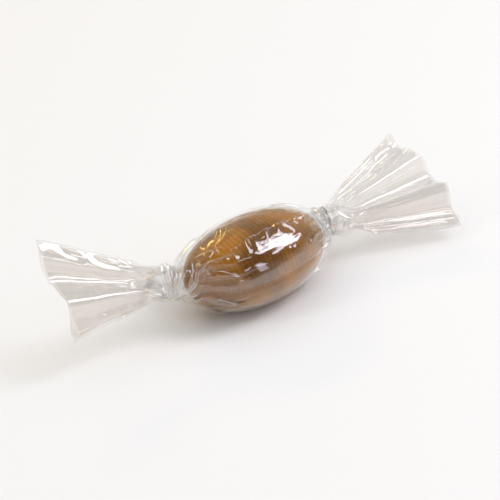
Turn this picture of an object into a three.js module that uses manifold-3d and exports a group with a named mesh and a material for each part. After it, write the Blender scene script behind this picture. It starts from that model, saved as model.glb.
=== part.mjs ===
// A boiled honey sweet in a twist wrap of clear cellophane, lying on its flatter side.
//
// Millimetres, +Z up. X runs along the sweet from its left tail to its right tail, and the
// origin is the centre of the small flat spot that the sweet rests on. The wrap is one sheet,
// so the whole thing is one solid, lofted through cross-sections from tail end to tail end:
// a fan, a twisted neck, the shoulder of gathered film, the belly round the sweet, and the
// same again on the other side.

import * as THREE from 'three';
import { mergeVertices } from 'three/addons/utils/BufferGeometryUtils.js';
import Module from 'manifold-3d';

const TURN = 2 * Math.PI;

// ---- Driving dimensions -------------------------------------------------------------

// The boiled sweet: an oval drop a little blunter than an ellipsoid.
const SWEET_LENGTH = 32;
const SWEET_WIDTH = 19.6;
const SWEET_HEIGHT = 16.6;
const SWEET_BLUNTNESS = 2.15; // exponent of the outline, 2 is a true ellipse

// The film round it. Places along the wrap are distances from the middle of the sweet.
const FILM_STANDOFF = 0.25; // how far the film stands off the sweet where it is taut
const FLAT_SPOT_DEPTH = 0.4; // how much of the round belly is pressed flat
const NECK_START = 17.6;
const NECK_END = 20.4;
const NECK_RADIUS = 2.6;
const TWIST_START = NECK_START - 2.5; // the twist spreads a little beyond the neck
const TWIST_END = NECK_END + 2;

// The gathers that run from the shoulders into the necks.
const PLEATS = 5;
const PLEAT_WANDER = 0.25; // how unevenly the pleats are spaced, in radians
const PLEATS_START = 8.5;
const SHOULDER_END = NECK_START - 2;
const SHOULDER_PLEAT_DEPTH = 0.1; // as a share of the local radius
const NECK_PLEAT_DEPTH = 0.16;

// The fans beyond the necks, each modelled as one thin wavy sheet.
const FAN_THICKNESS = 0.7;
const FAN_OPENING = 7; // length over which the round neck flattens into the fan
const TAIL_BEND = 1.2; // over 1 the tail bends more towards its end
const TURN_INTO_BEND = 13; // the cross-sections stay upright up to here, then follow the bend
const CORNER_ROUNDING = 1.1; // how far the corners of a cut edge fall short of its middle
const FLAP_EDGE = 0.06; // share of the fan's half-width over which a flap steps

const LEFT_TAIL = {
  side: -1,
  end: 44, // distance of the cut edge from the middle of the sweet
  turned: 0.62 * TURN, // by the neck: half a turn, and the rest leaves the fan leaning
  halfWidth: 9.5,
  flare: 1.15, // under 1 the fan spreads fastest just past the neck
  bendStart: 9, // distance at which the tail begins to leave the sweet's axis
  sweep: 7, // how far the fan's end swings towards +Y
  lift: 9.5, // and how far it rises
  folds: 0.85, // broad folds in half the fan's width
  foldPhase: 0.2,
  foldDepth: 1.5,
  creases: 2.3, // finer creases in half the fan's width
  creaseDepth: 0.45,
  curl: 1.1, // how far the fan's edges curl
  edgeSlant: -2.9, // one corner of the cut edge reaches further out
  flapPlace: -0.42, // where across the fan one flap of the sheet laps the other
  flapStep: -1.4, // and how much shorter the sheet is beyond that
};

const RIGHT_TAIL = {
  side: 1,
  end: 45,
  turned: -0.9 * TURN,
  halfWidth: 12,
  flare: 0.85,
  bendStart: NECK_START,
  sweep: -4.2,
  lift: 2.6,
  folds: 1.35,
  foldPhase: 0.45,
  foldDepth: 1.9,
  creases: 3.4,
  creaseDepth: 0.5,
  curl: -1.3,
  edgeSlant: -1.2,
  flapPlace: 0.35,
  flapStep: -1.4,
};

// How finely the loft is cut.
const RING_POINTS = 48;
const SPREAD_POINTS = RING_POINTS / 2; // points across one face of a fan
const BELLY_STEP = 1.3;
const SHOULDER_STEP = 0.95;
const NECK_STEP = 0.55;
const FAN_STEP = 1.7;
const TAUT_SAMPLES = 48; // lines tried when the film is drawn taut

const MATERIAL = new THREE.MeshStandardMaterial({
  color: 0xa9814f,
  roughness: 0.12,
  metalness: 0,
});

// ---- Small helpers ------------------------------------------------------------------

const { lerp, smoothstep } = THREE.MathUtils;

// A zigzag between -1 and 1 with its peaks at whole numbers.
const zigzag = (place) => 4 * Math.abs(place - Math.floor(place) - 0.5) - 1;

// Ring points 0..23 run over the upper side from -Y to +Y, and 24..47 come back below.
const ringAngle = (point) => Math.PI - (point + 0.5) * (TURN / RING_POINTS);
const isUpper = (point) => point < SPREAD_POINTS;

// Where a ring point lies across the fan, from -1 at the near edge to 1 at the far edge.
function placeAcross(point) {
  const step = isUpper(point) ? point : RING_POINTS - 1 - point;
  return -1 + (2 * step) / (SPREAD_POINTS - 1);
}

// ---- The belly: film drawn taut over the sweet and down to the necks -------------------

// Half-size of the film round the sweet at a distance from its middle.
function sweetProfile(halfSize, distance) {
  const halfLength = SWEET_LENGTH / 2 + FILM_STANDOFF;
  const along = Math.min(distance / halfLength, 1);
  const fullness = (1 - along ** SWEET_BLUNTNESS) ** (1 / SWEET_BLUNTNESS);
  return (halfSize + FILM_STANDOFF) * fullness;
}

// The film leaves the sweet where a straight line to the neck just touches it: at each
// distance it follows the highest line from any nearer point of the sweet to the neck.
function tautProfile(halfSize, distance) {
  if (distance >= NECK_START) return NECK_RADIUS;
  let highest = 0;
  for (let i = 0; i <= TAUT_SAMPLES; i += 1) {
    const from = (distance * i) / TAUT_SAMPLES;
    const share = (distance - from) / (NECK_START - from);
    highest = Math.max(highest, lerp(sweetProfile(halfSize, from), NECK_RADIUS, share));
  }
  return highest;
}

// The pleats deepen from nothing on the belly to sharp gathers in the neck.
function pleatDepth(distance) {
  const shoulder = smoothstep(distance, PLEATS_START, SHOULDER_END);
  const neck = smoothstep(distance, TWIST_START, NECK_START);
  return lerp(SHOULDER_PLEAT_DEPTH * shoulder, NECK_PLEAT_DEPTH, neck);
}

function roundSection(point, distance, side) {
  const angle = ringAngle(point);
  const wander = PLEAT_WANDER * Math.sin(2 * angle + side);
  const pleat = 1 + pleatDepth(distance) * zigzag((PLEATS * (angle + wander)) / TURN);
  return new THREE.Vector2(
    tautProfile(SWEET_WIDTH / 2, distance) * pleat * Math.cos(angle),
    tautProfile(SWEET_HEIGHT / 2, distance) * pleat * Math.sin(angle),
  );
}

// ---- The fans ----------------------------------------------------------------------

const fanProgress = (tail, distance) => Math.max(0, (distance - NECK_END) / (tail.end - NECK_END));

function fanSection(point, tail, progress) {
  const across = placeAcross(point);
  const width = lerp(NECK_RADIUS, tail.halfWidth, progress ** tail.flare);
  const fold = tail.foldDepth * zigzag(tail.folds * across + tail.foldPhase);
  const crease = tail.creaseDepth * zigzag(tail.creases * across - tail.foldPhase);
  const curl = tail.curl * across * across;
  const face = isUpper(point) ? FAN_THICKNESS / 2 : -FAN_THICKNESS / 2;
  return new THREE.Vector2(width * across, (fold + crease + curl) * progress + face);
}

// How far a point of the fan lies beyond its cross-section, so that the cut edge slants,
// rounds off towards its corners and steps where one flap of the sheet laps the other.
function cutEdgeReach(point, tail, progress) {
  const across = placeAcross(point);
  const rounding = -CORNER_ROUNDING * across * across;
  const flap = tail.flapStep * smoothstep(across, tail.flapPlace - FLAP_EDGE, tail.flapPlace + FLAP_EDGE);
  return (rounding + tail.edgeSlant * across + flap) * progress * progress;
}

// ---- The centre line and the sections along it -------------------------------------------

const AXIS_HEIGHT = SWEET_HEIGHT / 2 + FILM_STANDOFF - FLAT_SPOT_DEPTH;

// Straight through the sweet, then bending with the tail.
function centreLine(tail, distance) {
  const travelled = Math.max(0, (distance - tail.bendStart) / (tail.end - tail.bendStart));
  const bend = travelled ** TAIL_BEND;
  return new THREE.Vector3(tail.side * distance, tail.sweep * bend, AXIS_HEIGHT + tail.lift * bend);
}

// The direction that a cross-section faces, always towards +X.
function sectionDirection(tail, distance) {
  const step = 0.1;
  const nearer = centreLine(tail, Math.max(distance - step, 0));
  const further = centreLine(tail, distance + step);
  const bent = further.sub(nearer).multiplyScalar(tail.side).normalize();
  const share = smoothstep(distance, TURN_INTO_BEND, NECK_END);
  return new THREE.Vector3(1, 0, 0).lerp(bent, share).normalize();
}

function crossSection(tail, distance) {
  const centre = centreLine(tail, distance);
  const along = sectionDirection(tail, distance);
  const sideways = new THREE.Vector3(0, 0, 1).cross(along).normalize();
  const upwards = along.clone().cross(sideways);
  const progress = fanProgress(tail, distance);
  const opening = smoothstep(distance, NECK_END, NECK_END + FAN_OPENING);
  const turned = tail.turned * smoothstep(distance, TWIST_START, TWIST_END);
  const ring = [];
  for (let point = 0; point < RING_POINTS; point += 1) {
    const round = roundSection(point, distance, tail.side);
    const local = round.lerp(fanSection(point, tail, progress), opening);
    local.rotateAround(new THREE.Vector2(), turned);
    ring.push(
      centre
        .clone()
        .addScaledVector(sideways, local.x)
        .addScaledVector(upwards, local.y)
        .addScaledVector(along, tail.side * cutEdgeReach(point, tail, progress)),
    );
  }
  return ring;
}

// Distances of the cross-sections from the middle of the sweet out to a cut edge.
function stationDistances(tail) {
  const zones = [
    [0, PLEATS_START, BELLY_STEP],
    [PLEATS_START, SHOULDER_END, SHOULDER_STEP],
    [SHOULDER_END, TWIST_END, NECK_STEP],
    [TWIST_END, tail.end, FAN_STEP],
  ];
  const distances = [0];
  for (const [from, to, step] of zones) {
    const count = Math.round((to - from) / step);
    for (let i = 1; i <= count; i += 1) distances.push(lerp(from, to, i / count));
  }
  return distances;
}

// ---- From cross-sections to a closed mesh -----------------------------------------------

function loftedGeometry(rings) {
  const positions = rings.flat().flatMap((corner) => corner.toArray());
  const triangles = [];
  const corner = (ring, point) => ring * RING_POINTS + (point % RING_POINTS);

  // Skin between neighbouring rings. Both faces of a fan are split along like diagonals.
  for (let ring = 0; ring < rings.length - 1; ring += 1) {
    for (let point = 0; point < RING_POINTS; point += 1) {
      const here = corner(ring, point);
      const beside = corner(ring, point + 1);
      const next = corner(ring + 1, point);
      const nextBeside = corner(ring + 1, point + 1);
      if (isUpper(point)) triangles.push(here, next, nextBeside, here, nextBeside, beside);
      else triangles.push(here, next, beside, beside, next, nextBeside);
    }
  }

  // The two cut edges: each upper point is joined to the one under it.
  const last = rings.length - 1;
  for (let point = 0; point < SPREAD_POINTS - 1; point += 1) {
    const below = RING_POINTS - 1 - point;
    const start = [corner(0, point), corner(0, point + 1), corner(0, below - 1), corner(0, below)];
    const end = [corner(last, below), corner(last, below - 1), corner(last, point + 1), corner(last, point)];
    for (const [a, b, c, d] of [start, end]) triangles.push(a, b, c, a, c, d);
  }

  const geometry = new THREE.BufferGeometry();
  geometry.setAttribute('position', new THREE.Float32BufferAttribute(positions, 3));
  geometry.setIndex(triangles);
  return geometry;
}

// ---- Cutting the flat spot -----------------------------------------------------------

const wasm = await Module();
wasm.setup();

function toSolid(geometry) {
  const bare = geometry.clone();
  bare.deleteAttribute('normal');
  bare.deleteAttribute('uv');
  const merged = mergeVertices(bare);
  return new wasm.Manifold(
    new wasm.Mesh({
      numProp: 3,
      vertProperties: new Float32Array(merged.attributes.position.array),
      triVerts: new Uint32Array(merged.index.array),
    }),
  );
}

function toGeometry(solid) {
  const mesh = solid.getMesh();
  const geometry = new THREE.BufferGeometry();
  geometry.setAttribute('position', new THREE.BufferAttribute(mesh.vertProperties, 3));
  geometry.setIndex(new THREE.BufferAttribute(mesh.triVerts, 1));
  geometry.computeVertexNormals();
  return geometry;
}

function belowTheFloor() {
  const depth = 10;
  const slab = new THREE.BoxGeometry(SWEET_LENGTH * 2, SWEET_WIDTH * 2, depth);
  slab.translate(0, 0, -depth / 2);
  return slab;
}

// ---- The wrapped drop ---------------------------------------------------------------------

function wrappedDrop() {
  const leftRings = stationDistances(LEFT_TAIL).map((distance) => crossSection(LEFT_TAIL, distance));
  const rightRings = stationDistances(RIGHT_TAIL).map((distance) => crossSection(RIGHT_TAIL, distance));
  const rings = [...leftRings.reverse(), ...rightRings.slice(1)];
  const solid = toSolid(loftedGeometry(rings)).subtract(toSolid(belowTheFloor()));
  const mesh = new THREE.Mesh(toGeometry(solid), MATERIAL);
  mesh.name = 'wrapped_drop';
  return mesh;
}

const honeyDrop = new THREE.Group();
honeyDrop.add(wrappedDrop());

export default honeyDrop;
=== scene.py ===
"""A boiled honey sweet in a clear twist wrap: the film, the sweet inside it and a plain studio."""

import math

import bpy
import numpy as np
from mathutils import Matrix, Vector


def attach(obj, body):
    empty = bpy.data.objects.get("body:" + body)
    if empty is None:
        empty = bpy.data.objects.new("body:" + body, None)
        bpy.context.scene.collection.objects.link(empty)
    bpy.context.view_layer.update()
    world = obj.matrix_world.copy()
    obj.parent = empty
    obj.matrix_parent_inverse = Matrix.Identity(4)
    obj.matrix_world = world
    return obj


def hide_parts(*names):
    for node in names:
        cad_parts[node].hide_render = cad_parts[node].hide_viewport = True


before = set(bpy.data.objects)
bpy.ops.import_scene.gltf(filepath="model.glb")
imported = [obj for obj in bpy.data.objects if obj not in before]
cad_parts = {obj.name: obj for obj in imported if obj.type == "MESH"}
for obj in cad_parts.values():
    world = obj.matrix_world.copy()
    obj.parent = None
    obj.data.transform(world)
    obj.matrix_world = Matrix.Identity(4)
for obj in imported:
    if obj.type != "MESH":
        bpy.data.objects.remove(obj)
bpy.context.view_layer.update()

bl_info = {
    "name": "Wrapped honey drop",
    "version": (1, 0, 0),
    "blender": (4, 5, 0),
    "location": "3D View > Sidebar > Honey drop",
    "description": "Makes an oval boiled sweet, its twisted clear wrap and a plain studio",
    "category": "Add Mesh",
}

# ---- Sizes ---------------------------------------------------------------------------
# The form below is worked out in millimetres and turned to metres when a mesh is made.

MM = 0.001
TURN = 2 * math.pi

SWEET_LENGTH = 32.0
SWEET_WIDTH = 19.6
SWEET_HEIGHT = 16.6
SWEET_BLUNTNESS = 2.15

FILM_STANDOFF = 0.25
FLAT_SPOT_DEPTH = 0.4
AXIS_HEIGHT = SWEET_HEIGHT / 2 + FILM_STANDOFF - FLAT_SPOT_DEPTH
NECK_START = 17.6  # places along the wrap are distances from the middle of the sweet
NECK_END = 20.4
NECK_RADIUS = 2.6
TWIST_START = NECK_START - 2.5
TWIST_END = NECK_END + 2.0
TAUT_SAMPLES = 48

FAN_OPENING = 7.0
TAIL_BEND = 1.2
TURN_INTO_BEND = 13.0  # from here on the sections lean into the tail's bend
CORNER_ROUNDING = 1.1
FLAP_EDGE = 0.06  # share of a fan's half-width over which its cut edge steps
LAYER_GAP = 0.45  # between the layers of a fan

LAP_RISE = 3.0  # over which the sheet climbs onto itself
PLEAT_GROWTH = 7.0  # over which a pleat comes to its full depth
PLEAT_SWING = 0.5  # of a pleat's depth, to and fro
PLEAT_BULGE = 0.35  # of a pleat's depth, outwards
PLEAT_WANDER = ((0.45, 2, 1.0), (0.22, 5, 2.3))  # size in pleats, waves round the sheet, phase
FIRST_PLEAT = 2.0  # between this and the next the pleats begin
LAST_PLEAT = 10.0
SQUEEZE_START = 13.0  # from here on the neck presses the pleats flatter
FAN_PLEATS_BY = 0.35  # share of the fan by which its fine pleats are at their full depth
STAGGER_PHASE = 0.8

# The settling of the film: where it is held and where it may buckle.
LOOSE_FROM = 8.0
LOOSE_BY = 14.0
NECK_LET_GO = 3.0  # beyond the neck's end, where its hold is gone
FAN_BUCKLES_FROM = NECK_END + 1
FAN_BUCKLES_BY = NECK_END + 6
NECK_HELD = 0.75  # how much of its looseness the film loses in the necks
NECK_HOLD = 0.3  # how far each round draws the necks back to their form
STIFF_MIDDLE = 0.4  # freedom of the film over the middle of the sweet
STIFF_UP_TO = 5.0
FREE_FROM = 12.0
RUFFLE_WIDTH = 4.0  # of the ruffled free edge
ALONG_PULL = 0.9  # share of each stretch that one step takes away
AROUND_PULL = 0.7
SLANT_PULL = 0.15
BEND_AROUND = 0.12  # how hard the film resists a tight bend, by direction, and in the fans
BEND_ALONG = 0.25
BEND_FAN = 0.2
NOISE_SIZE = 0.12  # of the random unevenness from which the crumples grow
NOISE_SMOOTHING = 6
CALM_MIDDLE = 0.5  # share of the unevenness over the middle of the sweet
CALM_UP_TO = 9.0
SWEET_ROOM = 0.15  # between the sweet and the film
LOWEST_FILM = 0.03
CLOSE_FIT = 0.5  # how far film may stand off its taut form over the sweet
SHOULDER_FIT = 1.2  # how much further it may at the sweet's shoulders
SHOULDER_FROM = 7.0
SHOULDER_BY = 13.0
NECK_FIT = 1.1  # how much less it may in the necks
NARROW_FROM = 14.5
FAN_SPREAD = 1.1  # how much further it may for each mm along a fan

LEFT_TAIL = {
    "side": -1,
    "end": 44.0,
    "turned": 0.62 * TURN,
    "half_width": 9.5,
    "flare": 1.15,
    "bend_start": 9.0,
    "sweep": 7.0,
    "lift": 9.5,
    "folds": 0.85,
    "fold_phase": 0.2,
    "fold_depth": 1.5,
    "creases": 2.3,
    "crease_depth": 0.45,
    "curl": 1.1,
    "edge_slant": -2.9,
    "flap_place": -0.42,
    "flap_step": -1.4,
    "layers": 3,
    "stagger": 0.7,
    "fan_pleat": 0.03,
    "fan_crumple": 0.22,
}
RIGHT_TAIL = {
    "side": 1,
    "end": 45.0,
    "turned": -0.9 * TURN,
    "half_width": 12.0,
    "flare": 0.85,
    "bend_start": NECK_START,
    "sweep": -4.2,
    "lift": 2.6,
    "folds": 1.35,
    "fold_phase": 0.45,
    "fold_depth": 1.9,
    "creases": 3.4,
    "crease_depth": 0.5,
    "curl": -1.3,
    "edge_slant": -1.2,
    "flap_place": 0.35,
    "flap_step": -1.4,
    "layers": 2.36,
    "stagger": 0.5,
    "fan_pleat": 0.06,
    "fan_crumple": 0.3,
}


# ---- Small helpers -------------------------------------------------------------------


def linear_colour(hex_colour):
    """An sRGB hex colour as the linear red, green, blue and alpha that shaders take."""
    values = [int(hex_colour[place:place + 2], 16) / 255 for place in (1, 3, 5)]
    return [v / 12.92 if v <= 0.04045 else ((v + 0.055) / 1.055) ** 2.4 for v in values] + [1.0]


def add_node(tree, kind, links=None, **settings):
    """Adds a node. links gives each socket, by name or number, a value or another socket."""
    made = tree.nodes.new(kind)
    for name, value in settings.items():
        setattr(made, name, value)
    for key, value in (links or {}).items():
        if isinstance(value, bpy.types.NodeSocket):
            tree.links.new(value, made.inputs[key])
        else:
            made.inputs[key].default_value = value
    return made


def new_material(name):
    """An empty node material and its tree and output."""
    material = bpy.data.materials.new(name)
    material.use_nodes = True
    material.node_tree.nodes.clear()
    return material, material.node_tree, add_node(material.node_tree, "ShaderNodeOutputMaterial")


def new_object(name, data):
    made = bpy.data.objects.new(name, data)
    bpy.context.scene.collection.objects.link(made)
    return made


def zigzag(place):
    """A zigzag between -1 and 1 with its peaks at whole numbers."""
    return 4 * np.abs(place - np.floor(place) - 0.5) - 1


def ease(value, low, high):
    """0 below low, 1 above high and smooth between."""
    share = np.clip((value - low) / (high - low), 0, 1)
    return share * share * (3 - 2 * share)


def blend(first, second, share):
    return first + (second - first) * share


# ---- The form of the wrap ------------------------------------------------------------


def sweet_profile(half_size, distance, standoff=FILM_STANDOFF):
    """Half-size of the film round the sweet at a distance from its middle."""
    along = np.minimum(np.abs(distance) / (SWEET_LENGTH / 2 + standoff), 1)
    return (half_size + standoff) * (1 - along**SWEET_BLUNTNESS) ** (1 / SWEET_BLUNTNESS)


def taut_profile(half_size, distance):
    """Half-size of film drawn tight from the sweet to the neck, as its highest straight line."""
    start = distance[:, None] * np.linspace(0, 1, TAUT_SAMPLES)
    start = np.minimum(start, NECK_START - 1e-6)
    travelled = np.clip((distance[:, None] - start) / (NECK_START - start), 0, 1)
    lines = blend(sweet_profile(half_size, start), NECK_RADIUS, travelled)
    return np.where(distance < NECK_START, lines.max(1), NECK_RADIUS)


def centre_line(tail, distance):
    """Points of the line that the wrap follows: straight through the sweet, then bending with the tail."""
    travelled = np.maximum(0, (distance - tail["bend_start"]) / (tail["end"] - tail["bend_start"]))
    bend = travelled**TAIL_BEND
    return np.stack(
        [tail["side"] * distance, tail["sweep"] * bend, AXIS_HEIGHT + tail["lift"] * bend], -1
    )


def fan_progress(tail, distance):
    return np.maximum(0, (distance - NECK_END) / (tail["end"] - NECK_END))


def film_form(tail, distance, around, settings):
    """Film points of one half of the wrap, for arrays of distances and places round the sheet."""
    turn_width = settings["turn_width"]
    angle = settings["start_angle"] - TURN * around / turn_width
    laps = np.clip((around - turn_width + LAP_RISE / 2) / LAP_RISE, 0, 1)  # 1 where the sheet lies on itself

    # The round section: film over the sweet, with pleats as deep as its spare width asks.
    half_width = taut_profile(SWEET_WIDTH / 2, distance)[:, None]
    half_height = taut_profile(SWEET_HEIGHT / 2, distance)[:, None]
    phase, half_pleat = pleat_pattern(around, settings)
    fullest = (SWEET_WIDTH + SWEET_HEIGHT) / 4 + FILM_STANDOFF
    tightness = np.clip((half_width + half_height) / 2 / fullest, 0, 1)
    start = settings["pleat_starts"][tail["side"]]
    reach = ease(distance[:, None], start[None, :], start[None, :] + PLEAT_GROWTH)
    depth = half_pleat[None, :] * np.sqrt(1 - tightness**2) * reach
    squeeze = blend(1.0, settings["neck_squeeze"], ease(distance, SQUEEZE_START, NECK_START))
    depth = depth * squeeze[:, None]
    wave = PLEAT_SWING * depth * zigzag(phase)[None, :] + PLEAT_BULGE * depth * reach
    wave = wave + settings["lap_gap"] * laps[None, :]
    lean = settings["lean"] * depth / half_width * zigzag(phase)[None, :]
    leaning = angle[None, :] + lean * tail["side"]
    round_y = (half_width + wave) * np.cos(leaning)
    round_z = (half_height + wave) * np.sin(leaning)

    # The fan: the sheet goes to and fro in flat layers.
    layer = tail["layers"] * around / settings["sheet_width"]
    across = -zigzag(layer / 2)
    progress = fan_progress(tail, distance)
    width = blend(NECK_RADIUS, tail["half_width"], progress ** tail["flare"])[:, None]
    fold = tail["fold_depth"] * zigzag(tail["folds"] * across + tail["fold_phase"])
    crease = tail["crease_depth"] * zigzag(tail["creases"] * across - tail["fold_phase"])
    curl = tail["curl"] * across * across
    layer_height = LAYER_GAP * (layer - tail["layers"] / 2)
    spare = tail["fan_pleat"] * half_pleat * zigzag(phase)
    fan_y = width * across
    fan_z = (fold + crease + curl)[None, :] * progress[:, None] + layer_height[None, :]
    fan_z = fan_z + spare[None, :] * ease(progress, 0.0, FAN_PLEATS_BY)[:, None]

    opening = ease(distance, NECK_END, NECK_END + FAN_OPENING)[:, None]
    local_y = blend(round_y, fan_y, opening)
    local_z = blend(round_z, fan_z, opening)
    turned = (tail["turned"] * ease(distance, TWIST_START, TWIST_END))[:, None]
    sideways_part = local_y * np.cos(turned) - local_z * np.sin(turned)
    upwards_part = local_y * np.sin(turned) + local_z * np.cos(turned)

    # How far each point lies beyond its section, for the slanting, stepped cut edge.
    reach_out = tail["edge_slant"] * across - CORNER_ROUNDING * across * across
    reach_out = reach_out + tail["flap_step"] * ease(
        across, tail["flap_place"] - FLAP_EDGE, tail["flap_place"] + FLAP_EDGE
    )
    reach_out = reach_out + tail["stagger"] * np.sin(TURN * layer / tail["layers"] + STAGGER_PHASE)
    reach_out = reach_out[None, :] * (progress**2)[:, None]

    centre = centre_line(tail, distance)
    bent = (centre_line(tail, distance + 0.1) - centre) * tail["side"]
    bent /= np.linalg.norm(bent, axis=1, keepdims=True)
    along = blend(np.array([1.0, 0.0, 0.0]), bent, ease(distance, TURN_INTO_BEND, NECK_END)[:, None])
    along /= np.linalg.norm(along, axis=1, keepdims=True)
    sideways = np.cross([0.0, 0.0, 1.0], along)
    sideways /= np.linalg.norm(sideways, axis=1, keepdims=True)
    upwards = np.cross(along, sideways)
    return (
        centre[:, None, :]
        + sideways[:, None, :] * sideways_part[..., None]
        + upwards[:, None, :] * upwards_part[..., None]
        + along[:, None, :] * (tail["side"] * reach_out)[..., None]
    )


def pleat_pattern(around, settings):
    """The zigzag place of each point round the sheet, and half its pleat's width there."""
    share = around / settings["sheet_width"]
    wander = [size * np.sin(TURN * waves * share + start) for size, waves, start in PLEAT_WANDER]
    phase = settings["pleats"] * share + sum(wander)
    pleats_per_mm = np.gradient(phase, around)
    return phase, 0.5 / np.maximum(pleats_per_mm, 0.05)


def wrap_points(settings, cell):
    """The film's grid of points from tail to tail, and the sheet's cell size along it."""
    around_count = int(round(settings["sheet_width"] / cell)) + 1
    around = np.linspace(0, settings["sheet_width"], around_count)
    rng = np.random.default_rng(settings["seed"])
    settings["pleat_starts"] = {}
    phase, _ = pleat_pattern(around, settings)
    for side in (-1, 1):
        starts = rng.uniform(FIRST_PLEAT, LAST_PLEAT, int(np.ceil(phase.max()) + 3))
        place = phase - phase.min() + 0.5
        settings["pleat_starts"][side] = np.interp(place, np.arange(len(starts)), starts)
    halves = []
    for tail in (LEFT_TAIL, RIGHT_TAIL):
        fine = np.linspace(0, tail["end"], 600)
        form = film_form(tail, fine, around[::8], {**settings, "pleat_starts": {
            tail["side"]: settings["pleat_starts"][tail["side"]][::8]}})
        steps = np.linalg.norm(np.diff(form, axis=0), axis=2).mean(1)
        travelled = np.concatenate([[0], np.cumsum(steps)])
        columns = int(round(travelled[-1] / cell)) + 1
        distance = np.interp(np.linspace(0, travelled[-1], columns), travelled, fine)
        halves.append((tail, distance, film_form(tail, distance, around, settings)))
    left, right = halves
    points = np.concatenate([left[2][::-1], right[2][1:]])
    signed = np.concatenate([-left[1][::-1], right[1][1:]])
    return points, signed, around


# ---- Letting the film settle ---------------------------------------------------------


def pull_together(points, freedom, offset, rest, stiffness, push_only=False):
    """Moves pairs of grid points an offset apart towards their rest distance, in disjoint sets."""
    step_i, step_j = offset
    rows, columns = points.shape[:2]
    stride = abs(step_i) if step_i else abs(step_j)
    for start in range(2 * stride):
        if step_i:
            first_i = np.arange(start, rows - step_i, 2 * stride)
            second_i = first_i + step_i
            low_j = max(0, -step_j)
            high_j = columns - max(0, step_j)
            a = (first_i, slice(low_j, high_j))
            b = (second_i, slice(low_j + step_j, high_j + step_j))
        else:
            first_j = np.arange(start, columns - step_j, 2 * stride)
            a = (slice(None), first_j)
            b = (slice(None), first_j + step_j)
        gap = points[b] - points[a]
        length = np.sqrt((gap * gap).sum(-1)) + 1e-9
        excess = length - rest[a]
        if push_only:
            excess = np.minimum(excess, 0)
        free_a, free_b = freedom[a], freedom[b]
        share = stiffness * excess / (length * (free_a + free_b + 1e-6))
        move = gap * share[..., None]
        points[a] += move * free_a[..., None]
        points[b] -= move * free_b[..., None]


def settle_film(points, signed, around, settings):
    """Lets film that is as wide as its sheet buckle between the sweet and the twisted necks."""
    rng = np.random.default_rng(settings["seed"] + 1)
    start = points.copy()
    distance = np.abs(signed)
    cell = around[1] - around[0]
    along_rest = np.zeros(points.shape[:2])
    along_rest[:-1] = np.linalg.norm(np.diff(points, axis=0), axis=2)
    along_rest[-1] = along_rest[-2]
    now = np.full(points.shape[:2], cell)
    now[:, :-1] = np.linalg.norm(np.diff(points, axis=1), axis=2)
    let_go = ease(distance, NECK_END, NECK_END + NECK_LET_GO)
    neck = ease(distance, TWIST_START, NECK_START) * (1 - let_go)
    looseness = ease(distance, LOOSE_FROM, LOOSE_BY) * (1 - NECK_HELD * neck)
    fan = ease(distance, FAN_BUCKLES_FROM, FAN_BUCKLES_BY)
    fan_crumple = np.where(signed < 0, LEFT_TAIL["fan_crumple"], RIGHT_TAIL["fan_crumple"])
    looseness = looseness * blend(settings["crumple"], fan_crumple, fan)
    around_rest = blend(now, cell, looseness[:, None])
    body = 1 - ease(distance, LOOSE_FROM, LOOSE_BY)
    around_rest = around_rest * (1 + settings["slack"] * body)[:, None]
    ruffle = ease(around, settings["sheet_width"] - RUFFLE_WIDTH, settings["sheet_width"])
    along_rest = along_rest * (1 + settings["edge_slack"] * body[:, None] * ruffle[None, :])
    shear_rest = np.sqrt(along_rest**2 + around_rest**2)

    freed = blend(STIFF_MIDDLE, 1.0, ease(distance, STIFF_UP_TO, FREE_FROM))
    freedom = np.ones(points.shape[:2]) * freed[:, None]
    stiff_rest = 6 * around_rest * fan[:, None]
    hold = blend(settings["hold"], NECK_HOLD, neck)[:, None, None]
    limit = twist_limit(signed)

    noise = rng.normal(size=points.shape)
    for _ in range(NOISE_SMOOTHING):
        noise[1:-1] = (noise[:-2] + noise[1:-1] + noise[2:]) / 3
        noise[:, 1:-1] = (noise[:, :-2] + noise[:, 1:-1] + noise[:, 2:]) / 3
    noise *= NOISE_SIZE / noise.std()
    unrest = blend(CALM_MIDDLE, 1.0, ease(distance, CALM_UP_TO, SHOULDER_BY))
    points = points + noise * unrest[:, None, None]

    for _ in range(settings["rounds"]):
        pull_together(points, freedom, (1, 0), along_rest, ALONG_PULL)
        pull_together(points, freedom, (0, 1), around_rest, AROUND_PULL)
        pull_together(points, freedom, (1, 1), shear_rest, SLANT_PULL)
        pull_together(points, freedom, (1, -1), shear_rest, SLANT_PULL)
        pull_together(points, freedom, (0, 3), 3 * around_rest, BEND_AROUND, push_only=True)
        pull_together(points, freedom, (0, 6), stiff_rest, BEND_FAN, push_only=True)
        pull_together(points, freedom, (3, 0), 3 * along_rest, BEND_ALONG, push_only=True)
        points += (start - points) * hold
        keep_in_twist(points, limit)
        keep_off_sweet(points)
    flatten_fans(points, fan, settings)
    return points


def flatten_fans(points, fan, settings):
    """Irons the finest ripples out of the fans, which leaves flat panes between few creases."""
    share = 0.5 * fan[:, None, None]
    for _ in range(settings["flattening"]):
        beside = points.copy()
        beside[:, 1:-1] = (points[:, :-2] + points[:, 2:]) / 2
        points += (beside - points) * share


def twist_limit(signed):
    """The centre line and the furthest that film may stand from it, for each column of the sheet."""
    distance = np.abs(signed)
    lines = [centre_line(tail, distance) for tail in (LEFT_TAIL, RIGHT_TAIL)]
    centre = np.where((signed < 0)[:, None], *lines)
    taut = taut_profile((SWEET_WIDTH + SWEET_HEIGHT) / 4, distance)
    loose = CLOSE_FIT + SHOULDER_FIT * ease(distance, SHOULDER_FROM, SHOULDER_BY)
    loose = loose - NECK_FIT * ease(distance, NARROW_FROM, NECK_START)
    spread = np.maximum(0, distance - NECK_END) * FAN_SPREAD
    return centre, taut + loose + spread


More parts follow.
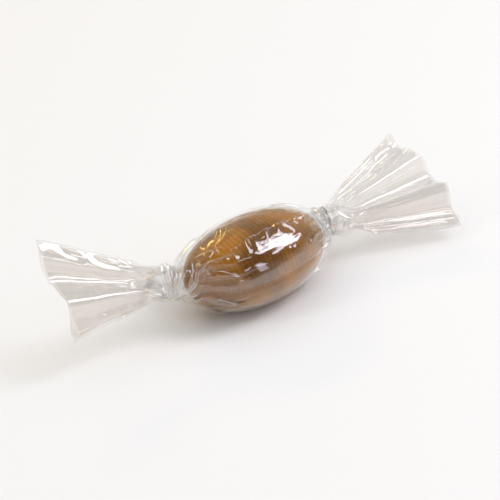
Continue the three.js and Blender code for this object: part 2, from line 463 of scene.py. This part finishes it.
def keep_in_twist(points, limit):
    """Draws film that strays from the twisted necks back to them."""
    centre, furthest = limit
    out = points[..., 1:] - centre[:, None, 1:]
    length = np.linalg.norm(out, axis=-1, keepdims=True) + 1e-9
    points[..., 1:] = centre[:, None, 1:] + out * np.minimum(1, furthest[:, None, None] / length)


def keep_off_sweet(points):
    """Pushes film points out of the sweet and off the surface that the sweet lies on."""
    y, z = points[..., 1], points[..., 2] - AXIS_HEIGHT
    fullness = sweet_profile(1.0 - SWEET_ROOM, points[..., 0], SWEET_ROOM)
    half_width = SWEET_WIDTH / 2 + SWEET_ROOM
    half_height = SWEET_HEIGHT / 2 + SWEET_ROOM
    out = np.sqrt((y / half_width) ** 2 + (z / half_height) ** 2) + 1e-9
    scale = np.maximum(fullness / out, 1)
    points[..., 1] = y * scale
    points[..., 2] = np.maximum(z * scale + AXIS_HEIGHT, LOWEST_FILM)


def film_mesh(points, around):
    """A mesh of the film's grid, with the place on the flat sheet as its UV map, in metres."""
    rows, columns = points.shape[:2]
    corner = np.arange(rows * columns).reshape(rows, columns)
    faces = np.stack([corner[:-1, :-1], corner[1:, :-1], corner[1:, 1:], corner[:-1, 1:]], -1)
    faces = faces.reshape(-1, 4)
    mesh = bpy.data.meshes.new("clear_film")
    mesh.from_pydata((points.reshape(-1, 3) * MM).tolist(), [], faces.tolist())
    mesh.shade_smooth()
    sheet = mesh.uv_layers.new(name="sheet")
    along = np.arange(rows) * (around[1] - around[0])
    place = np.stack(np.meshgrid(along, around, indexing="ij"), -1).reshape(-1, 2) * MM
    corners = np.zeros(len(mesh.loops), dtype=np.int32)
    mesh.loops.foreach_get("vertex_index", corners)
    sheet.data.foreach_set("uv", place[corners].ravel())
    return mesh


# ---- Materials -----------------------------------------------------------------------


def cellophane_material(settings):
    """Clear cellulose film, cast thin and glazed: mirror-bright at a slant, all but unseen face on.

    Twisting draws it thinner, so only the loose fans show its faint tint."""
    material, tree, output = new_material("clear_cellophane")
    place = add_node(tree, "ShaderNodeTexCoord")
    crinkle = add_node(tree, "ShaderNodeTexNoise", {"Vector": place.outputs["Object"],
                                                   "Scale": 1 / (2.4 * MM), "Detail": 2.0,
                                                   "Roughness": 0.4})
    bump = add_node(tree, "ShaderNodeBump", {"Height": crinkle.outputs["Fac"], "Strength": 0.25,
                                             "Distance": 0.1 * MM})
    spot = add_node(tree, "ShaderNodeSeparateXYZ", {0: place.outputs["Object"]})
    outwards = add_node(tree, "ShaderNodeMath", {0: spot.outputs["X"]}, operation="ABSOLUTE")
    fan = add_node(tree, "ShaderNodeMapRange", {"Value": outwards.outputs[0], "From Min": NECK_END * MM,
                                                "From Max": (NECK_END + FAN_OPENING) * MM})
    tint = add_node(tree, "ShaderNodeMix", {"Factor": fan.outputs["Result"], 6: linear_colour("#FFFFFF"),
                                            7: linear_colour(settings.film_tint)}, data_type="RGBA")
    clear = add_node(tree, "ShaderNodeBsdfTransparent", {"Color": tint.outputs[2]})
    shine = add_node(tree, "ShaderNodeBsdfGlossy", {"Color": linear_colour("#FFFFFF"), "Roughness": 0.02,
                                                    "Normal": bump.outputs["Normal"]})
    facing = add_node(tree, "ShaderNodeLayerWeight", {"Blend": 0.5, "Normal": bump.outputs["Normal"]})
    slant = add_node(tree, "ShaderNodeMath", {0: facing.outputs["Facing"], 1: 5.0}, operation="POWER")
    head_on = ((settings.film_ior - 1) / (settings.film_ior + 1)) ** 2
    mirror = add_node(tree, "ShaderNodeMapRange", {"Value": slant.outputs[0], "To Min": head_on,
                                                   "To Max": 1.0})
    mixed = add_node(tree, "ShaderNodeMixShader", {0: mirror.outputs[0], 1: clear.outputs[0],
                                                   2: shine.outputs[0]})
    tree.links.new(mixed.outputs[0], output.inputs["Surface"])
    return material


def boiled_sugar_material(settings):
    """Boiled sugar and honey, pressed while hot: a brown, glassy, slightly cloudy solid.

    Painted shade: the grooves between its ribs are painted browner and the crests a little paler.
    Painted light: where the sweet is seen at a slant, its thin edge is painted paler, as though light shone
    through it."""
    material, tree, output = new_material("boiled_honey_sugar")
    place = add_node(tree, "ShaderNodeTexCoord")
    cloud = add_node(tree, "ShaderNodeTexNoise", {"Vector": place.outputs["Object"], "Scale": 1 / (11 * MM),
                                                 "Detail": 4.0, "Roughness": 0.6, "Distortion": 0.4})
    ramp = add_node(tree, "ShaderNodeValToRGB", {"Fac": cloud.outputs["Fac"]})
    ramp.color_ramp.elements[0].position = 0.37
    ramp.color_ramp.elements[0].color = linear_colour(settings.dark_colour)
    ramp.color_ramp.elements[1].position = 0.63
    ramp.color_ramp.elements[1].color = linear_colour(settings.light_colour)
    # Painted shade: the rib relief darkens the grooves to 0.8 of the sugar's colour and lifts the crests to
    # 1.05 of it.
    ribs = add_node(tree, "ShaderNodeAttribute", attribute_name="rib")
    painted_groove_shade = add_node(tree, "ShaderNodeMapRange", {"Value": ribs.outputs["Fac"], "From Min": -1.0,
                                                  "To Min": 0.8, "To Max": 1.05})
    groove_shaded_colour = add_node(tree, "ShaderNodeMix", {"Factor": 1.0, 6: ramp.outputs["Color"],
                                              7: painted_groove_shade.outputs["Result"]},
                      data_type="RGBA", blend_type="MULTIPLY")
    # Painted light: the edge seen at a slant is mixed up to three quarters towards a pale colour, as though
    # light shone through the thin sugar there.
    facing = add_node(tree, "ShaderNodeLayerWeight", {"Blend": 0.5})
    edge = add_node(tree, "ShaderNodeMath", {0: facing.outputs["Facing"], 1: 2.2}, operation="POWER")
    painted_glow_share = add_node(tree, "ShaderNodeMath", {0: edge.outputs[0], 1: 0.75}, operation="MULTIPLY")
    sugar_colour = add_node(tree, "ShaderNodeMix", {"Factor": painted_glow_share.outputs[0], 6: groove_shaded_colour.outputs[2],
                                                    7: linear_colour(settings.painted_glow_colour)},
                            data_type="RGBA")
    # The sugar's own grain is finer: it is drawn this coarse so that it shows.
    grain = add_node(tree, "ShaderNodeTexNoise", {"Vector": place.outputs["Object"], "Scale": 1 / (0.6 * MM),
                                                 "Detail": 2.0})
    bump = add_node(tree, "ShaderNodeBump", {"Height": grain.outputs["Fac"], "Strength": 0.3,
                                             "Distance": 0.06 * MM})
    rough = add_node(tree, "ShaderNodeMapRange", {"Value": cloud.outputs["Fac"], "To Min": 0.12,
                                                  "To Max": 0.26})
    sugar = add_node(tree, "ShaderNodeBsdfPrincipled", {
        "Base Color": sugar_colour.outputs[2],
        "Roughness": rough.outputs["Result"],
        "IOR": 1.5,
        "Specular IOR Level": 0.3,
        "Subsurface Weight": 0.3,
        "Subsurface Radius": (1.0, 0.45, 0.16),
        "Subsurface Scale": 2.5 * MM,
        "Normal": bump.outputs["Normal"],
    })
    tree.links.new(sugar.outputs[0], output.inputs["Surface"])
    return material


def studio_material(settings):
    """Pale matt paper, rolled out under the sweet."""
    material, tree, output = new_material("pale_paper")
    place = add_node(tree, "ShaderNodeTexCoord")
    # Paper fibres are finer: they are drawn this coarse so that they show.
    fibres = add_node(tree, "ShaderNodeTexNoise", {"Vector": place.outputs["Object"],
                                                  "Scale": 1 / (1.1 * MM)})
    tone = add_node(tree, "ShaderNodeMapRange", {"Value": fibres.outputs["Fac"], "To Min": 0.985,
                                                 "To Max": 1.0})
    colour = add_node(tree, "ShaderNodeMix", {"Factor": 1.0, 6: linear_colour(settings.floor_colour),
                                              7: tone.outputs["Result"]},
                      data_type="RGBA", blend_type="MULTIPLY")
    paper = add_node(tree, "ShaderNodeBsdfPrincipled", {"Base Color": colour.outputs[2], "Roughness": 0.9})
    tree.links.new(paper.outputs[0], output.inputs["Surface"])
    return material


# ---- The sweet, as a rule in Geometry Nodes ------------------------------------------


def sweet_tree():
    """A drop lofted along X: an ellipse that swells and closes, with fine ribs and a seam at its girth."""
    tree = bpy.data.node_groups.new("pressed_sweet", "GeometryNodeTree")
    tree.interface.new_socket("Geometry", in_out="OUTPUT", socket_type="NodeSocketGeometry")
    sizes = {
        "Half length": SWEET_LENGTH / 2 * MM,
        "Half width": SWEET_WIDTH / 2 * MM,
        "Half height": SWEET_HEIGHT / 2 * MM,
        "Bluntness": SWEET_BLUNTNESS,
        "Centre height": AXIS_HEIGHT * MM,
        "Rib pitch": 0.95 * MM,
        "Rib depth": 0.02 * MM,
        "Seam depth": 0.08 * MM,
        "Seam width": 0.3 * MM,
        "Lump depth": 0.2 * MM,
        "Set in": 0.2 * MM,
        "Rows": 44.0,
        "Row share": 0.35,
        "Rib drift": 1.2,
        "Ribs from": 0.1 * MM,
        "Ribs by": 0.55 * MM,
        "Lowest": 0.1 * MM,
    }
    for name, value in sizes.items():
        socket = tree.interface.new_socket(name, in_out="INPUT", socket_type="NodeSocketFloat")
        socket.default_value = value
    tree.interface.new_socket("Seed", in_out="INPUT", socket_type="NodeSocketFloat")
    tree.interface.new_socket("Material", in_out="INPUT", socket_type="NodeSocketMaterial")
    given = add_node(tree, "NodeGroupInput").outputs
    result = add_node(tree, "NodeGroupOutput")

    along_count = 301
    round_count = 193
    grid = add_node(tree, "GeometryNodeMeshGrid", {"Size X": 1.0, "Size Y": 1.0,
                                                  "Vertices X": along_count, "Vertices Y": round_count})
    flat_place = add_node(tree, "GeometryNodeInputPosition")
    place = add_node(tree, "ShaderNodeSeparateXYZ", {0: flat_place.outputs[0]})
    swing = add_node(tree, "ShaderNodeMath", {0: place.outputs["X"], 1: math.pi}, operation="MULTIPLY")
    share = add_node(tree, "ShaderNodeMath", {0: swing.outputs[0]}, operation="SINE")
    angle = add_node(tree, "ShaderNodeMath", {0: place.outputs["Y"], 1: TURN}, operation="MULTIPLY")
    cosine = add_node(tree, "ShaderNodeMath", {0: angle.outputs[0]}, operation="COSINE")
    sine = add_node(tree, "ShaderNodeMath", {0: angle.outputs[0]}, operation="SINE")

    # fullness = (1 - |share| ^ bluntness) ^ (1 / bluntness)
    size = add_node(tree, "ShaderNodeMath", {0: share.outputs[0]}, operation="ABSOLUTE")
    powered = add_node(tree, "ShaderNodeMath", {0: size.outputs[0], 1: given["Bluntness"]}, operation="POWER")
    left = add_node(tree, "ShaderNodeMath", {0: 1.0, 1: powered.outputs[0]},
                    operation="SUBTRACT", use_clamp=True)
    inverse = add_node(tree, "ShaderNodeMath", {0: 1.0, 1: given["Bluntness"]}, operation="DIVIDE")
    fullness = add_node(tree, "ShaderNodeMath", {0: left.outputs[0], 1: inverse.outputs[0]},
                        operation="POWER")

    x = add_node(tree, "ShaderNodeMath", {0: share.outputs[0], 1: given["Half length"]}, operation="MULTIPLY")
    wide = add_node(tree, "ShaderNodeMath", {0: fullness.outputs[0], 1: given["Half width"]},
                    operation="MULTIPLY")
    high = add_node(tree, "ShaderNodeMath", {0: fullness.outputs[0], 1: given["Half height"]},
                    operation="MULTIPLY")

    # Ribs run round the sweet and fade out at its ends and at the seam.
    rib_place = add_node(tree, "ShaderNodeMath", {0: x.outputs[0], 1: given["Rib pitch"]}, operation="DIVIDE")
    drift = add_node(tree, "ShaderNodeTexNoise", {"Vector": flat_place.outputs[0], "Scale": 9.0,
                                                 "Detail": 1.0})
    rib_drift = add_node(tree, "ShaderNodeMath", {0: drift.outputs["Fac"], 1: given["Rib drift"]},
                         operation="MULTIPLY")
    rib_turn = add_node(tree, "ShaderNodeMath", {0: rib_place.outputs[0], 1: rib_drift.outputs[0]},
                        operation="ADD")
    rib_angle = add_node(tree, "ShaderNodeMath", {0: rib_turn.outputs[0], 1: TURN}, operation="MULTIPLY")
    rib_wave = add_node(tree, "ShaderNodeMath", {0: rib_angle.outputs[0]}, operation="SINE")
    row_angle = add_node(tree, "ShaderNodeMath", {0: angle.outputs[0], 1: given["Rows"]},
                         operation="MULTIPLY")
    row_wave = add_node(tree, "ShaderNodeMath", {0: row_angle.outputs[0]}, operation="SINE")
    lattice = add_node(tree, "ShaderNodeMath", {0: row_wave.outputs[0], 1: given["Row share"],
                                              2: rib_wave.outputs[0]},
                       operation="MULTIPLY_ADD")
    rib = add_node(tree, "ShaderNodeMath", {0: lattice.outputs[0], 1: given["Rib depth"]},
                   operation="MULTIPLY")
    height = add_node(tree, "ShaderNodeMath", {0: high.outputs[0], 1: sine.outputs[0]}, operation="MULTIPLY")
    upper = add_node(tree, "ShaderNodeMapRange", {"Value": height.outputs[0], "From Min": given["Ribs from"],
                                                 "From Max": given["Ribs by"]},
                     interpolation_type="SMOOTHSTEP")
    rib_upper = add_node(tree, "ShaderNodeMath", {0: rib.outputs[0], 1: upper.outputs["Result"]},
                         operation="MULTIPLY")
    rib_fade = add_node(tree, "ShaderNodeMath", {0: rib_upper.outputs[0], 1: fullness.outputs[0]},
                        operation="MULTIPLY")
    set_in = add_node(tree, "ShaderNodeMath", {0: upper.outputs["Result"], 1: given["Set in"]},
                      operation="MULTIPLY")
    set_in_fade = add_node(tree, "ShaderNodeMath", {0: set_in.outputs[0], 1: fullness.outputs[0]},
                           operation="MULTIPLY")

    # The seam is a thin raised flash where the two halves of the press met.
    seam_share = add_node(tree, "ShaderNodeMath", {0: height.outputs[0], 1: given["Seam width"]},
                          operation="DIVIDE")
    seam_square = add_node(tree, "ShaderNodeMath", {0: seam_share.outputs[0], 1: seam_share.outputs[0]},
                           operation="MULTIPLY")
    seam_under = add_node(tree, "ShaderNodeMath", {0: seam_square.outputs[0], 1: 1.0}, operation="ADD")
    seam = add_node(tree, "ShaderNodeMath", {0: given["Seam depth"], 1: seam_under.outputs[0]},
                    operation="DIVIDE")
    seam_fade = add_node(tree, "ShaderNodeMath", {0: seam.outputs[0], 1: fullness.outputs[0]},
                         operation="MULTIPLY")

    # The hot sweet settles into slight lumps.
    spot = add_node(tree, "ShaderNodeCombineXYZ", {0: x.outputs[0], 1: wide.outputs[0], 2: height.outputs[0]})
    shifted = add_node(tree, "ShaderNodeVectorMath", {0: spot.outputs[0], 1: given["Seed"]}, operation="ADD")
    lumps = add_node(tree, "ShaderNodeTexNoise", {"Vector": shifted.outputs[0], "Scale": 1 / (7 * MM),
                                                 "Detail": 2.0})
    lump_centred = add_node(tree, "ShaderNodeMath", {0: lumps.outputs["Fac"], 1: 0.5}, operation="SUBTRACT")
    lump = add_node(tree, "ShaderNodeMath", {0: lump_centred.outputs[0], 1: given["Lump depth"]},
                    operation="MULTIPLY")
    lump_fade = add_node(tree, "ShaderNodeMath", {0: lump.outputs[0], 1: fullness.outputs[0]},
                         operation="MULTIPLY")

    relief = add_node(tree, "ShaderNodeMath", {0: rib_fade.outputs[0], 1: seam_fade.outputs[0]},
                      operation="ADD")
    relief = add_node(tree, "ShaderNodeMath", {0: relief.outputs[0], 1: lump_fade.outputs[0]},
                      operation="ADD")
    relief = add_node(tree, "ShaderNodeMath", {0: relief.outputs[0], 1: set_in_fade.outputs[0]},
                      operation="SUBTRACT")
    out_y = add_node(tree, "ShaderNodeMath", {0: wide.outputs[0], 1: relief.outputs[0]}, operation="ADD")
    out_z = add_node(tree, "ShaderNodeMath", {0: high.outputs[0], 1: relief.outputs[0]}, operation="ADD")
    y = add_node(tree, "ShaderNodeMath", {0: out_y.outputs[0], 1: cosine.outputs[0]}, operation="MULTIPLY")
    z = add_node(tree, "ShaderNodeMath", {0: out_z.outputs[0], 1: sine.outputs[0]}, operation="MULTIPLY")
    raised = add_node(tree, "ShaderNodeMath", {0: z.outputs[0], 1: given["Centre height"]}, operation="ADD")
    rested = add_node(tree, "ShaderNodeMath", {0: raised.outputs[0], 1: given["Lowest"]}, operation="MAXIMUM")
    spot = add_node(tree, "ShaderNodeCombineXYZ", {0: x.outputs[0], 1: y.outputs[0], 2: rested.outputs[0]})

    # The rib relief is stored for the sugar material, which paints shade into the grooves from it.
    rib_seen = add_node(tree, "ShaderNodeMath", {0: rib_fade.outputs[0], 1: given["Rib depth"]},
                        operation="DIVIDE")
    kept = add_node(tree, "GeometryNodeStoreNamedAttribute", {"Geometry": grid.outputs["Mesh"], "Name": "rib",
                                                             "Value": rib_seen.outputs[0]})
    shaped = add_node(tree, "GeometryNodeSetPosition", {"Geometry": kept.outputs[0],
                                                       "Position": spot.outputs[0]})
    closed = add_node(tree, "GeometryNodeMergeByDistance", {"Geometry": shaped.outputs[0], "Distance": 1e-6})
    # The grid rolls up with its faces inwards, so they are turned.
    turned = add_node(tree, "GeometryNodeFlipFaces", {"Mesh": closed.outputs[0]})
    smooth = add_node(tree, "GeometryNodeSetShadeSmooth", {"Geometry": turned.outputs[0]})
    real = add_node(tree, "GeometryNodeRealizeInstances", {"Geometry": smooth.outputs[0]})
    painted = add_node(tree, "GeometryNodeSetMaterial", {"Geometry": real.outputs[0],
                                                        "Material": given["Material"]})
    tree.links.new(painted.outputs[0], result.inputs[0])
    return tree


def plain_mesh(host, name):
    """The evaluated object as a plain mesh object of its own. The host is removed."""
    depsgraph = bpy.context.evaluated_depsgraph_get()
    mesh = bpy.data.meshes.new_from_object(host.evaluated_get(depsgraph))
    mesh.name = name
    bpy.data.objects.remove(host)
    return new_object(name, mesh)


# ---- What a user can change ----------------------------------------------------------


class SweetSettings(bpy.types.PropertyGroup):
    """The boiled sweet."""

    length: bpy.props.FloatProperty(name="Length", description="From end to end of the sweet",
                                    default=SWEET_LENGTH * MM, unit="LENGTH")
    width: bpy.props.FloatProperty(name="Width", description="Across the sweet", default=SWEET_WIDTH * MM,
                                   unit="LENGTH")
    height: bpy.props.FloatProperty(name="Height", description="Thickness of the sweet",
                                    default=SWEET_HEIGHT * MM, unit="LENGTH")
    rib_pitch: bpy.props.FloatProperty(name="Rib pitch", description="From one fine rib to the next",
                                       default=0.95 * MM, unit="LENGTH")
    rib_depth: bpy.props.FloatProperty(name="Rib depth", description="How far a rib stands proud",
                                       default=0.02 * MM, unit="LENGTH")
    dark_colour: bpy.props.StringProperty(name="Dark colour", description="sRGB hex of the deeper sugar",
                                          default="#75480E")
    light_colour: bpy.props.StringProperty(name="Light colour", description="sRGB hex of the paler sugar",
                                           default="#B47820")
    # Painted light: the pale colour painted on the sweet's edge where it is seen at a slant.
    painted_glow_colour: bpy.props.StringProperty(name="Edge colour", description="sRGB hex of the thin, lit edge",
                                          default="#C4A470")


class FilmSettings(bpy.types.PropertyGroup):
    """The cellophane wrap."""

    thickness: bpy.props.FloatProperty(name="Thickness", description="Of the film", default=0.04 * MM,
                                       unit="LENGTH")
    lap: bpy.props.FloatProperty(name="Lap", description="How far the sheet overlaps itself",
                                 default=10 * MM, unit="LENGTH")
    pleats: bpy.props.IntProperty(name="Pleats", description="Gathers round the sheet", default=12)
    rounds: bpy.props.IntProperty(name="Settling", description="Rounds of settling of the film", default=160)
    film_tint: bpy.props.StringProperty(name="Tint", description="sRGB hex of light through the film",
                                        default="#FBFAF9")
    film_ior: bpy.props.FloatProperty(name="IOR", description="Of the cellulose film", default=1.52)


class StudioSettings(bpy.types.PropertyGroup):
    """The camera, the light and the floor."""

    azimuth: bpy.props.FloatProperty(name="Azimuth", description="Of the camera round the sweet",
                                     default=math.radians(-41), subtype="ANGLE")
    elevation: bpy.props.FloatProperty(name="Elevation", description="Of the camera above the floor",
                                       default=math.radians(35), subtype="ANGLE")
    distance: bpy.props.FloatProperty(name="Distance", description="Of the camera", default=0.5,
                                      unit="LENGTH")
    lens: bpy.props.FloatProperty(name="Lens", description="Focal length in millimetres", default=184.0)
    floor_colour: bpy.props.StringProperty(name="Floor colour", description="sRGB hex of the paper",
                                           default="#EBEBEA")


# ---- Operators -----------------------------------------------------------------------


class HONEYDROP_OT_sweet(bpy.types.Operator):
    """Makes the boiled sweet"""

    bl_idname = "honeydrop.sweet"
    bl_label = "Boiled sweet"

    def execute(self, context):
        settings = context.scene.honeydrop_sweet
        host = new_object("sweet_host", bpy.data.meshes.new("sweet_host"))
        rule = host.modifiers.new("pressed_sweet", "NODES")
        rule.node_group = sweet_tree()
        given = {
            "Half length": settings.length / 2,
            "Half width": settings.width / 2,
            "Half height": settings.height / 2,
            "Centre height": AXIS_HEIGHT * MM,
            "Rib pitch": settings.rib_pitch,
            "Rib depth": settings.rib_depth,
            "Material": boiled_sugar_material(settings),
        }
        for item in rule.node_group.interface.items_tree:
            if item.in_out == "INPUT" and item.name in given:
                rule[item.identifier] = given[item.name]
        sweet = plain_mesh(host, "boiled_sweet")
        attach(sweet, "root")
        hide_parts("wrapped_drop")
        return {"FINISHED"}


class HONEYDROP_OT_film(bpy.types.Operator):
    """Wraps the sweet in clear film and twists its ends"""

    bl_idname = "honeydrop.film"
    bl_label = "Clear wrap"

    def execute(self, context):
        chosen = context.scene.honeydrop_film
        girth = math.pi * (SWEET_WIDTH + SWEET_HEIGHT + 4 * FILM_STANDOFF) / 2
        settings = {
            "turn_width": girth,
            "sheet_width": girth + chosen.lap / MM,
            "start_angle": math.radians(169),
            "pleats": chosen.pleats,
            "neck_squeeze": 0.55,
            "lap_gap": 0.18,
            "lean": 0.6,
            "crumple": 0.85,
            "slack": 0.03,
            "edge_slack": 0.13,
            "hold": 0.01,
            "flattening": 10,
            "rounds": chosen.rounds,
            "seed": 7,
        }
        cell = 0.42
        points, signed, around = wrap_points(settings, cell)
        points = settle_film(points, signed, around, settings)
        film = new_object("clear_film", film_mesh(points, around))
        film.data.materials.append(cellophane_material(chosen))
        wall = film.modifiers.new("thickness", "SOLIDIFY")
        wall.thickness = chosen.thickness
        wall.offset = 0.0
        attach(film, "root")
        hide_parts("wrapped_drop")
        return {"FINISHED"}


class HONEYDROP_OT_studio(bpy.types.Operator):
    """Sets up the floor, the light and the camera"""

    bl_idname = "honeydrop.studio"
    bl_label = "Studio"

    def execute(self, context):
        scene = context.scene
        settings = scene.honeydrop_studio
        bpy.ops.mesh.primitive_plane_add(size=6.0)
        floor = context.object
        floor.name = "floor"
        floor.data.materials.append(studio_material(settings))

        target = Vector((-0.001, 0.0, 0.0105))
        backwards = Vector((
            math.sin(settings.azimuth) * math.cos(settings.elevation),
            -math.cos(settings.azimuth) * math.cos(settings.elevation),
            math.sin(settings.elevation),
        ))
        camera = new_object("camera", bpy.data.cameras.new("camera"))
        camera.data.lens = settings.lens
        camera.data.clip_start = 0.01
        camera.location = target + backwards * settings.distance
        camera.rotation_euler = backwards.to_track_quat("Z", "Y").to_euler()
        scene.camera = camera

        lights = [
            ("window_softbox", (0.34, -0.17, 0.43), (0.19, 0.33), 1.4, "#F6F5FF"),
            ("left_softbox", (-0.5, 0.15, 0.3), (0.1, 0.3), 0.6, "#FFF8E8"),
            ("left_wall", (-0.52, -0.22, 0.26), (0.35, 0.35), 0.3, "#F8F2FF"),
            ("front_fill", (0.2, -0.65, 0.4), (0.12, 0.3), 0.4, "#FAF9FF"),
            ("warm_strip", (0.1, 0.5, 0.3), (0.25, 0.05), 0.35, "#FFE08A"),
        ]
        for name, place, size, power, colour in lights:
            lamp = bpy.data.lights.new(name, "AREA")
            lamp.shape = "RECTANGLE"
            lamp.size, lamp.size_y = size
            lamp.energy = power
            lamp.color = linear_colour(colour)[:3]
            held = new_object(name, lamp)
            held.location = place
            held.rotation_euler = (Vector(place) - target).to_track_quat("Z", "Y").to_euler()

        # Even light from overhead, so that the paper stays pale far from the sweet. Only the
        # reflections leave it out.
        sky = bpy.data.lights.new("ceiling", "SUN")
        sky.energy = 1.75
        sky.angle = math.radians(100)  # as wide as a ceiling, for soft shadows
        ceiling = new_object("ceiling", sky)
        ceiling.visible_glossy = False

        # A grey wall behind the sweet and a dim room before it. Low down, the room is pale all
        # round, and palest behind the sweet.
        world = bpy.data.worlds.new("studio")
        world.use_nodes = True
        tree = world.node_tree
        place = add_node(tree, "ShaderNodeTexCoord")
        behind = (-math.sin(settings.azimuth), math.cos(settings.azimuth), 0.0)
        facing = add_node(tree, "ShaderNodeVectorMath", {0: place.outputs["Generated"], 1: behind},
                          operation="DOT_PRODUCT")
        wall = add_node(tree, "ShaderNodeMapRange", {"Value": facing.outputs["Value"], "From Min": -0.1,
                                                     "From Max": 0.7, "To Min": 0.06, "To Max": 0.32})
        height = add_node(tree, "ShaderNodeSeparateXYZ", {0: place.outputs["Generated"]})
        low_down = add_node(tree, "ShaderNodeMapRange", {"Value": height.outputs["Z"], "From Min": 0.02,
                                                         "From Max": 0.4, "To Min": 1.0, "To Max": 0.0})
        around = add_node(tree, "ShaderNodeMapRange", {"Value": facing.outputs["Value"], "From Min": -0.6,
                                                       "From Max": 0.3, "To Min": 0.4, "To Max": 0.92})
        skirting = add_node(tree, "ShaderNodeMath", {0: low_down.outputs["Result"],
                                                     1: around.outputs["Result"]},
                            operation="MULTIPLY")
        glow = add_node(tree, "ShaderNodeMath", {0: wall.outputs["Result"], 1: skirting.outputs[0]},
                        operation="MAXIMUM")
        backdrop = tree.nodes["Background"]
        backdrop.inputs["Color"].default_value = linear_colour("#F6F7F8")
        tree.links.new(glow.outputs[0], backdrop.inputs["Strength"])
        scene.world = world
        scene.view_settings.view_transform = "Standard"
        scene.cycles.transparent_max_bounces = 64
        return {"FINISHED"}


class HONEYDROP_PT_panel(bpy.types.Panel):
    """Lists what makes the wrapped honey drop"""

    bl_label = "Honey drop"
    bl_idname = "HONEYDROP_PT_panel"
    bl_space_type = "VIEW_3D"
    bl_region_type = "UI"
    bl_category = "Honey drop"

    def draw(self, context):
        layout = self.layout
        for operator, group in STEPS:
            layout.operator(operator)
            settings = getattr(context.scene, group)
            for name in settings.__annotations__:
                layout.prop(settings, name)


STEPS = (
    ("honeydrop.sweet", "honeydrop_sweet"),
    ("honeydrop.film", "honeydrop_film"),
    ("honeydrop.studio", "honeydrop_studio"),
)
GROUPS = {
    "honeydrop_sweet": SweetSettings,
    "honeydrop_film": FilmSettings,
    "honeydrop_studio": StudioSettings,
}
CLASSES = (
    SweetSettings,
    FilmSettings,
    StudioSettings,
    HONEYDROP_OT_sweet,
    HONEYDROP_OT_film,
    HONEYDROP_OT_studio,
    HONEYDROP_PT_panel,
)


def register():
    for made in CLASSES:
        bpy.utils.register_class(made)
    for name, group in GROUPS.items():
        setattr(bpy.types.Scene, name, bpy.props.PointerProperty(type=group))


def unregister():
    for name in GROUPS:
        delattr(bpy.types.Scene, name)
    for made in reversed(CLASSES):
        bpy.utils.unregister_class(made)


def main():
    register()
    for operator, _ in STEPS:
        section, name = operator.split(".")
        getattr(getattr(bpy.ops, section), name)()


if __name__ == "__main__":
    main()
